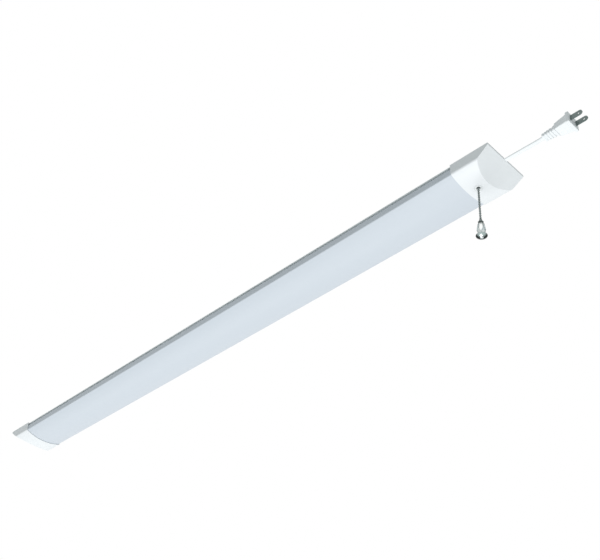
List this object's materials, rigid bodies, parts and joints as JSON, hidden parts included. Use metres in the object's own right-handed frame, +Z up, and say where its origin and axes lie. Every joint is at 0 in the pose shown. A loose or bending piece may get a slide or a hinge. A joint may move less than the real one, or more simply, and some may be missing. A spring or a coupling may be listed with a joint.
{
  "type": "hanging shop light",
  "caption": "Slim white linear ceiling light with moulded end caps, a milky curved diffuser, a bead pull chain with a faceted pendant and a short flat cord with a flat-blade plug.",
  "frame": {"origin": "centre of the back face, half way between the two keyholes, in the plane that goes against the ceiling", "axes": "+Z up through the ceiling, X along the light with the cord and pull chain at the -X end, Y across it"},
  "size_m": [1.3195, 0.08, 0.1207],
  "materials": {
    "sheet_white": "white powder coat",
    "diffuser": "milky satin",
    "cap_white": "semi-gloss",
    "board_white": "white solder mask",
    "led": "phosphor",
    "nylon": "natural nylon",
    "driver_plastic": "satin",
    "board_green": "solder mask",
    "component_dark": "satin",
    "screw_steel": "zinc plated",
    "cord_white": "soft vinyl",
    "wire_black": "vinyl",
    "wire_white": "vinyl",
    "wire_red": "vinyl",
    "guide_white": "semi-gloss",
    "switch_plastic": "moulded phenolic",
    "contact_brass": "stamped",
    "chain_nickel": "nickel plated",
    "crystal": "clear, cut faces",
    "skirt_dark": "dark gloss",
    "blade_metal": "nickel plated"
  },
  "bodies": {
    "light": {"housing": "sheet_white", "diffuser": "diffuser", "near_end_cap": "cap_white", "far_end_cap": "cap_white", "led_tray": "sheet_white", "led_board_near": "board_white", "led_board_far": "board_white", "led_chips": "led", "board_connector": "nylon", "driver_case": "driver_plastic", "driver_cover": "driver_plastic", "driver_board": "board_green", "driver_components": "component_dark", "driver_screws": "screw_steel", "tray_screws": "screw_steel", "board_screws": "screw_steel", "end_cap_screws": "screw_steel", "cord_anchor": "cord_white", "cord_tail": "cord_white", "switch_lead": "wire_black", "driver_leads": "wire_white", "led_leads": "wire_red", "chain_guide": "guide_white", "guide_nut": "screw_steel", "switch_case": "switch_plastic", "switch_cover": "switch_plastic", "switch_contacts": "contact_brass", "switch_spring": "screw_steel", "cord": "cord_white", "plug_body": "cord_white", "plug_blades": "blade_metal"},
    "rotor": {"switch_rotor": "nylon"},
    "slider": {"switch_slider": "nylon", "upper_chain": "chain_nickel"},
    "lead": {"lead_bead": "chain_nickel"},
    "chain": {"bead_chain": "chain_nickel"},
    "pendant": {"chain_coupling": "chain_nickel", "pendant_cap": "chain_nickel", "pendant_crystal": "crystal", "pendant_skirt": "skirt_dark", "pendant_stud": "chain_nickel"}
  },
  "joints": [
    {"name": "chain_pull", "type": "slide", "parent": "light", "child": "slider", "axis": [0, 0, -1], "range_m": [0, 0.006], "stiffness_N_per_m": 500, "springref_m": -0.006, "deforming": ["switch_spring"]},
    {"name": "switch_turn", "type": "hinge", "parent": "light", "child": "rotor", "pos_m": [-0.5626, 0, -0.01665], "axis": [0, 1, 0], "range_deg": [0, 90]},
    {"name": "chain_swing_along", "type": "hinge", "parent": "slider", "child": "lead", "pos_m": [-0.554, 0, -0.0285], "axis": [0, 1, 0], "range_deg": [-70, 70]},
    {"name": "chain_swing_across", "type": "hinge", "parent": "lead", "child": "chain", "pos_m": [-0.554, 0, -0.0327], "axis": [1, 0, 0], "range_deg": [-70, 70]},
    {"name": "pendant_spin", "type": "hinge", "parent": "chain", "child": "pendant", "pos_m": [-0.554, 0, -0.0831], "axis": [0, 0, 1], "continuous": true}
  ],
  "couplings": [
    {"joint": "switch_turn", "follows": "chain_pull", "rad_per_m": 261.79}
  ]
}
